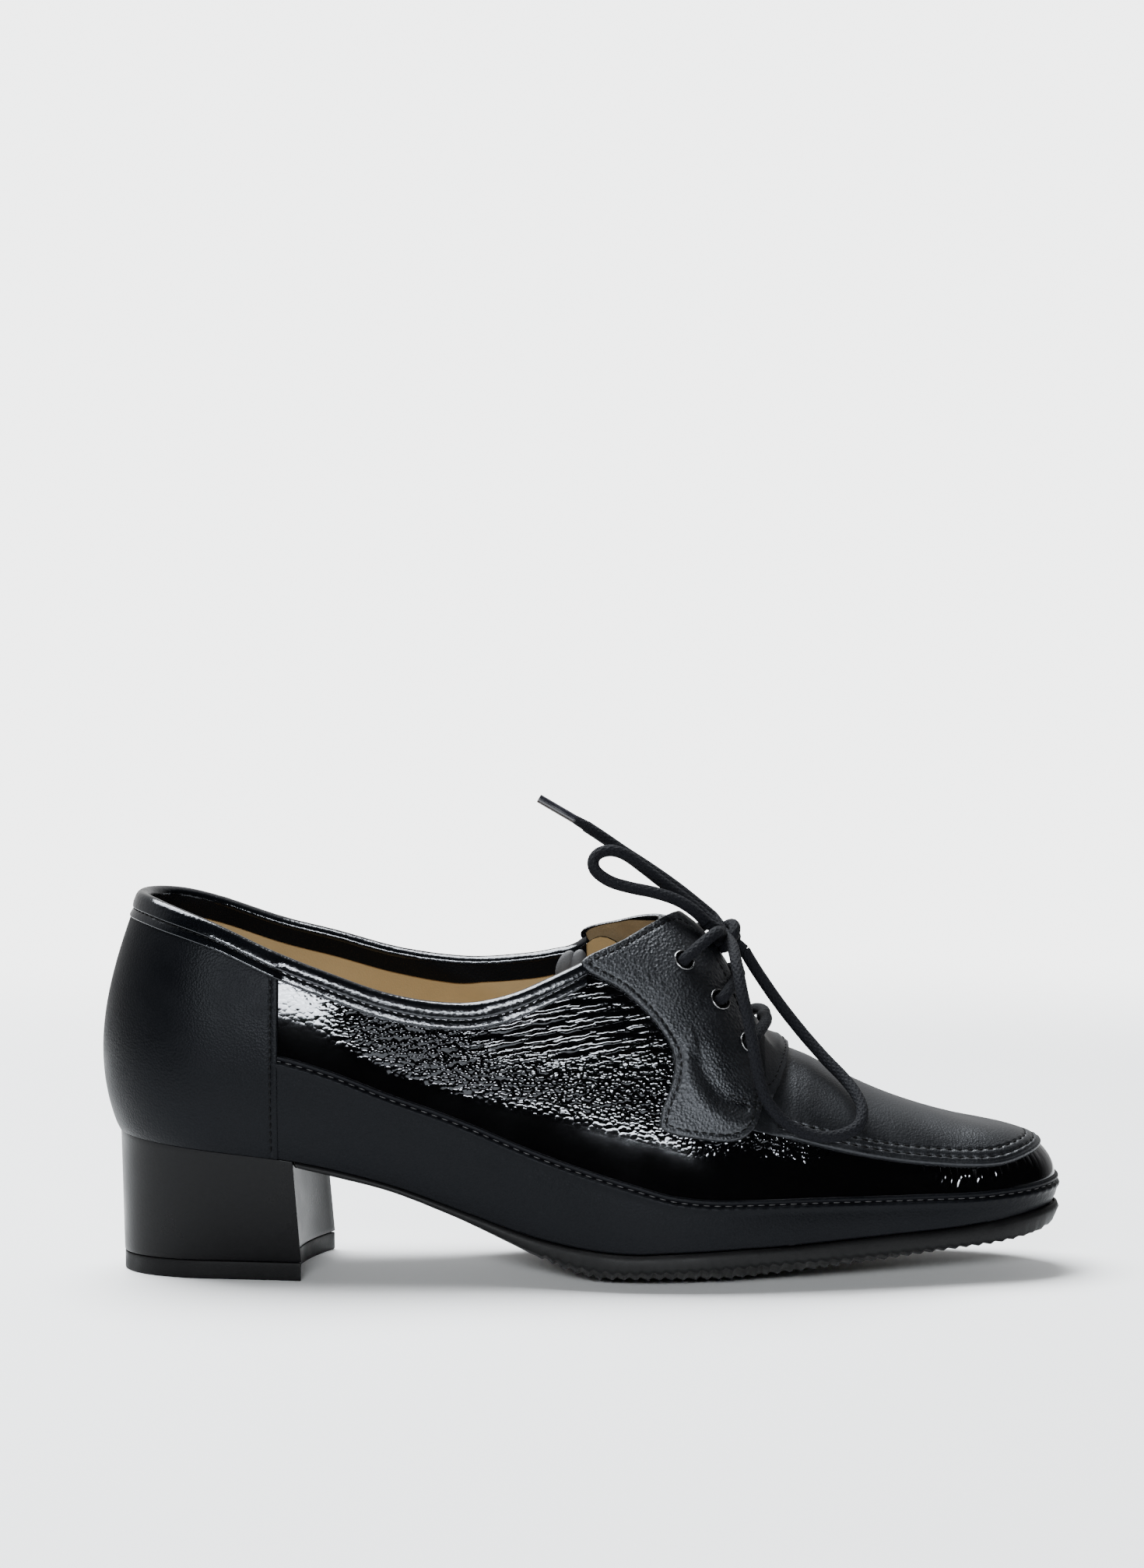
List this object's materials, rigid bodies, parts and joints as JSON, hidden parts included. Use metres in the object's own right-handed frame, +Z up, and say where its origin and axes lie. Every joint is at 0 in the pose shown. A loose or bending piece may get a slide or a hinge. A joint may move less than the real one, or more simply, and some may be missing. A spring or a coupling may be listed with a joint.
{
  "type": "heeled derby shoe",
  "caption": "Heeled lace-up derby with an apron toe, crinkled patent sides, stitched lace flaps, a bound collar and a block heel.",
  "frame": {"origin": "on the floor under the middle of the shoe's length and width, not counting the free lace", "axes": "+X towards the toe, +Y towards the medial side, +Z up"},
  "size_m": [0.2576, 0.0811, 0.1277],
  "materials": {
    "black_leather": "matt grained counter, band and apron, with crinkled patent sides",
    "flap_leather": "matt, pebbled grain",
    "tongue_leather": "matt, fine grain",
    "patent_binding": "patent gloss",
    "tan_lining": "smooth tan lining",
    "sole_rubber": "matt, ribbed underneath",
    "heel_cover": "satin black cover",
    "lift_rubber": "matt",
    "eyelet_metal": "polished",
    "lace_cotton": "round woven cord",
    "lace_tip": "clear film over the cord"
  },
  "bodies": {
    "root": {"upper": "black_leather", "outsole": "sole_rubber", "heel_block": "heel_cover", "top_lift": "lift_rubber", "insole": "tan_lining", "tongue": "tongue_leather", "eyestay_lateral": "flap_leather", "eyestay_medial": "flap_leather", "collar_binding": "patent_binding", "lace_bar_lower": "lace_cotton", "lace_bar_upper": "lace_cotton", "eyelet_lateral_top": "eyelet_metal", "eyelet_lateral_middle": "eyelet_metal", "eyelet_lateral_bottom": "eyelet_metal", "eyelet_medial_top": "eyelet_metal", "eyelet_medial_middle": "eyelet_metal", "eyelet_medial_bottom": "eyelet_metal", "lace_knot": "lace_cotton", "lace_loop_rear": "lace_cotton", "lace_loop_front": "lace_cotton", "lace_end_rear": "lace_cotton", "lace_end_front": "lace_cotton", "lace_tip_rear": "lace_tip", "lace_tip_front": "lace_tip"}
  },
  "joints": []
}
